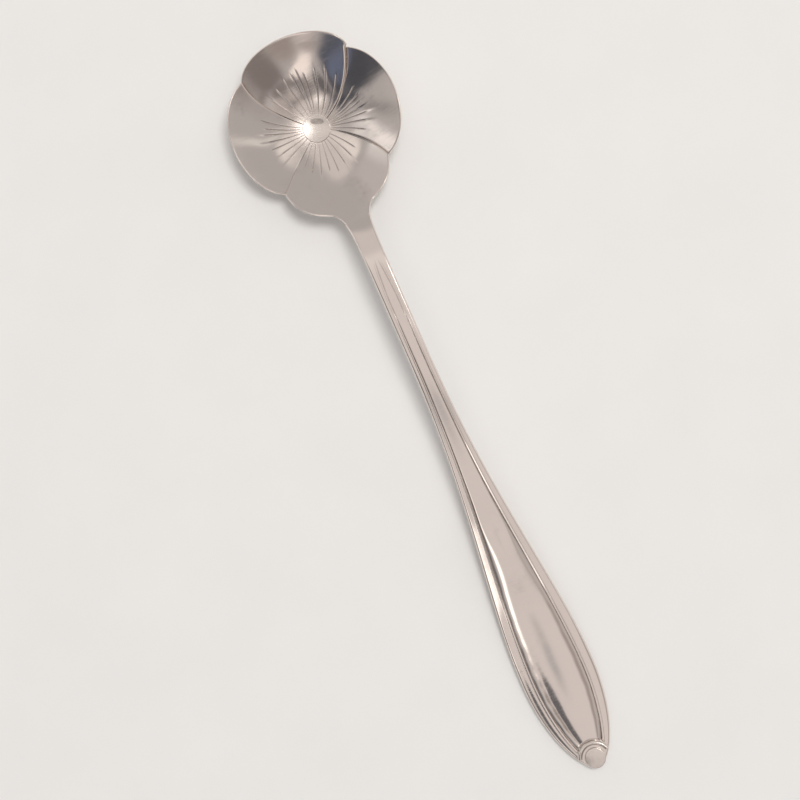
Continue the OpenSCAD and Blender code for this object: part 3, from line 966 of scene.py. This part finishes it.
def zones(x):
    """Half widths, in mm, of the panel, the bead's outer foot, the rounded edge's start and the outline."""
    w = half_width(x)
    widened = (broad_border - shank_border) * (w - shank_half) / (broad_half - shank_half)
    border = min(border_share * w, shank_border + widened)
    bead = min(bead_share * w, bead_width)
    grown = max(0.0, min(1.0, (x - tongue_x) / tongue_run))
    tongue = tongue_least + (1 - tongue_least) * grown ** tongue_power
    panel = (w - border - bead) * tongue
    rounding = min(edge_width, edge_share * w)
    return panel, panel + bead, w - rounding, w


print("panel half width at the broad end, mm:", round(zones(broad_x)[0], 2))

# %% [markdown]
# A perfect relief would mirror the room in perfect bands, but this one is filed by hand. So the panel's
# edge wavers, its middle swells a little before the broad end, the bead leans along the middle of the
# handle, and the left border falls off in a slight slope. Each is a small term in the relief's height.

# %% Relief on the handle
groove_depth, bead_rise, slim_share = 0.2, 0.07, 0.25
panel_crown, panel_shoulder, panel_power = 0.1, 0.1, 5
slim_power, slim_end, slim_ease = 18, 74, 10
border_fall, border_power, border_from, border_ease = 0.15, 3, 95, 10
long_waver, short_waver, waver_shift = (0.009, 0.9), (0.006, 2.1), 1
# Each span has the x of its start, of its full height, of its easing off and of its end
panel_swell, swell_span = 0.17, (75, 83, 85, 94)
bead_lean, bead_flank, lean_span = 0.16, 0.25, (56, 64, 88, 96)


def waver(x):
    """Share by which hand filing leaves the panel wider or narrower."""
    long_wave = long_waver[0] * math.sin(long_waver[1] * x)
    return long_wave + short_waver[0] * math.sin(short_waver[1] * x + waver_shift)


def between(x, start, full, ease, end):
    """Rises from 0 to 1 between start and full, and falls again between ease and end."""
    return smooth((x - start) / (full - start)) * (1 - smooth((x - ease) / (end - ease)))


def relief(a, x):
    """Height over the handle's line, a mm from its middle."""
    panel, bead, _, w = zones(x)
    size = panel / zones(broad_x)[0] if x < broad_x else 1.0
    fullness = slim_share + (1 - slim_share) * size
    deep, rise = groove_depth * fullness, bead_rise * fullness
    if a <= panel:
        t = a / panel
        crown = panel_crown * size * size + panel_swell * between(x, *swell_span)
        power = panel_power + slim_power * (1 - size) * (1 - smooth((x - slim_end) / slim_ease))
        flank = (deep + panel_shoulder * size * size) * (1 - (t + waver(x) * size * t) ** power)
        return crown * (1 - t * t) + flank - deep
    s = (a - panel) / (bead - panel)
    if s < 1:
        lean = bead_lean * between(x, *lean_span)
        foot = 1 - bead_flank
        top = rise * smooth(s / bead_flank) + lean * (bead - panel) * max(0.0, min(s, foot) - bead_flank)
        return top * (1 - smooth((s - foot) / bead_flank)) - deep * (1 - smooth(s / bead_flank))
    grown = slim_share * size + (1 - slim_share) * smooth((x - border_from) / border_ease)
    fall = border_fall * (w - bead) / broad_border * grown
    return -fall * min(1.0, (a - bead) / (w - bead)) ** border_power


def thickness(x, a):
    """The back is a round belly on the shank and flattens toward the leaf."""
    w = half_width(x)
    along = smooth((x - crest_x) / (landing_x - crest_x))
    core = neck_thick + (end_thick - neck_thick) * along
    edge = sheet + (edge_thick - sheet) * smooth((x - neck_x) / crest_run)
    return edge + (core - edge) * (1 - min(1.0, a / w) ** (2 + 2 * along)) ** 2 if w > 0 else edge


print("panel's rise in the middle of the leaf, mm:", round(relief(0.0, broad_x), 2))

# %% [markdown]
# ## From a grid to the handle
#
# The handle is made as the petals are, from two grids. Its columns count through the zones: 0 to 1 is
# the panel, 1 to 2 the groove and the bead, 2 to 3 the border and 3 to 4 the rounded edge, with a minus
# sign on the left. Its rows are stations along x, which crowd together toward the blunt point.

# %% Columns and stations
panel_steps, bead_steps, border_steps, edge_steps = 20, 20, 8, 7
neck_steps, shank_steps, end_steps, end_angle = 70, 150, 120, 88


def crowded_steps(count):
    """Shares from 0 to 1 that crowd together toward 1."""
    return [math.sin(math.radians(90 * k / count)) for k in range(count + 1)]


right_half = crowded_steps(panel_steps)
right_half += [1 + k / bead_steps for k in range(1, bead_steps + 1)]
right_half += [2 + k / border_steps for k in range(1, border_steps + 1)]
right_half += [3 + share for share in crowded_steps(edge_steps)[1:]]
across = [-q for q in reversed(right_half[1:])] + right_half
stations = [neck_x + crest_run * k / neck_steps for k in range(neck_steps)]
stations += [crest_x + (broad_x - crest_x) * k / shank_steps for k in range(shank_steps)]
stations += [broad_x + (handle_end - broad_x) * math.sin(math.radians(end_angle * k / end_steps))
             for k in range(end_steps + 1)]
print("columns and stations:", len(across), len(stations))

# %% Handle points
button_radius, collar_radius, collar_wire, collar_angle = 1.85, 2.7, 0.4, 74
button_x = handle_end - button_radius - solder_gap
seat_radius, seat_margin, seat_ease = collar_radius + collar_wire + solder_gap, 0.05, 0.25
relief_x, relief_run = 35.0, 9.0
filed_lean, filed_span = 0.112, (67, 77, 88, 100)
groove_dark, groove_width, slim_width, slim_shift = 0.5, 0.06, 0.05, 0.06
foot_dark, foot_width = 0.3, 0.05
slim_dark_ease, dark_ease = 8, 3
probe = 0.01


def handle_dark(a, x):
    """Tarnish in the grooves beside the panel, and at the bead's outer foot."""
    panel, bead, _, _ = zones(x)
    slim = 1 - smooth((x - slim_end) / slim_dark_ease)
    away = (a - panel + slim_shift * slim) / (groove_width + slim_width * slim)
    darkening = groove_dark * math.exp(-away ** 2)
    darkening += foot_dark * math.exp(-((a - bead) / foot_width) ** 2)
    return darkening * smooth((x - tongue_x) / dark_ease)


def handle_point(q, x, side):
    limits = (0.0, *zones(x))
    _, _, bead, flat, w = limits
    zone = min(3, int(abs(q)))
    a = limits[zone] + (abs(q) - zone) * (limits[zone + 1] - limits[zone])
    y = math.copysign(a, q)
    slope = (half_width(min(handle_end, x + probe)) - half_width(x - probe)) / (2 * probe)
    rounding = w - flat
    to_edge = (w - a) / math.hypot(1, slope)
    round_off = quarter(to_edge / rounding) if rounding > 0 else 0.0
    arch = (heel_top(y) - neck_z) * (1 - smooth((x - neck_x) / (2 * neck_taper)))
    seat = smooth((math.hypot(x - button_x, a) - seat_radius + seat_margin) / seat_ease)
    fade = smooth((x - relief_x) / relief_run) * seat
    filed = filed_lean * between(x, *filed_span) * max(0.0, a - bead) if q < 0 else 0.0
    top = line_z(x) + arch + (relief(a, x) * fade - filed if w > 0 else 0.0)
    bottom = line_z(x) + arch - thickness(x, a)
    middle, half = (top + bottom) / 2, (top - bottom) / 2
    dark = handle_dark(a, x) * seat if side > 0 else 0.0
    return (x, y, middle + side * half * round_off), dark


bm = two_skins(across, stations, handle_point)
finish_piece(bm, "handle", handle_silver)

# %% [markdown]
# ## Button and collar
#
# The button is turned like the rivet, with a nearly flat top, a rounded shoulder, a short straight side
# and a spigot let into the handle. The collar is a length of half-round wire bent round it. A torus cut
# in two would need more steps: we draw the wire's section once, spin it through part of a turn and close
# its two ends.

# %% End button
button_rise, button_side, spigot_radius, spigot_length = 0.05, 0.45, 0.9, 0.9
shoulder, shoulder_start, dome_steps = 0.14, 75, 20
foot_rise, foot_inset = 0.06, 0.04
flat_reach = button_radius - shoulder
button_top = end_thick + button_side + button_rise
ball = (button_radius ** 2 + button_rise ** 2) / (2 * button_rise)

section = []
for k in range(dome_steps + 1):
    radius = flat_reach * k / dome_steps
    section.append((radius, button_top - ball + math.sqrt(ball ** 2 - radius ** 2), 0.0))
low_dome = section[-1][1]
rounded = arc_points((flat_reach, low_dome - shoulder), (shoulder, shoulder), shoulder_start, 0, 8)
section += [(r, z, 0.0) for r, z in rounded]
section += [
    (button_radius, end_thick + foot_rise, 0.5), (button_radius - foot_inset, end_thick, 1.0),
    (spigot_radius, end_thick, 1.0), (spigot_radius, end_thick - spigot_length, 0.0),
    (0.0, end_thick - spigot_length, 0.0)]
finish_piece(spun(section, button_x, 72), "end_button", trim_silver)

# %% End collar
wire_steps, collar_steps = 16, 64
collar_dark, collar_dark_height = 0.8, 0.08

bm = bmesh.new()
tarnish_and_painted_shade = bm.verts.layers.float.new("tarnish_and_painted_shade")
wire = []
for radius, height in arc_points((collar_radius, end_thick), (collar_wire, collar_wire), 0, 180, wire_steps):
    vert = bm.verts.new(Vector((button_x - radius, 0, height)) * MM)
    vert[tarnish_and_painted_shade] = collar_dark if height < end_thick + collar_dark_height else 0.0
    wire.append(vert)
edges = [bm.edges.new(pair) for pair in zip(wire, wire[1:] + wire[:1])]
bmesh.ops.rotate(bm, verts=wire, cent=(button_x * MM, 0, 0),
                 matrix=Matrix.Rotation(math.radians(-collar_angle), 3, "Z"))
bmesh.ops.spin(bm, geom=wire + edges, cent=(button_x * MM, 0, 0), axis=(0, 0, 1),
               angle=math.radians(2 * collar_angle), steps=collar_steps)
bmesh.ops.holes_fill(bm, edges=[e for e in bm.edges if e.is_boundary])
bmesh.ops.recalc_face_normals(bm, faces=bm.faces)
finish_piece(bm, "end_collar", trim_silver)
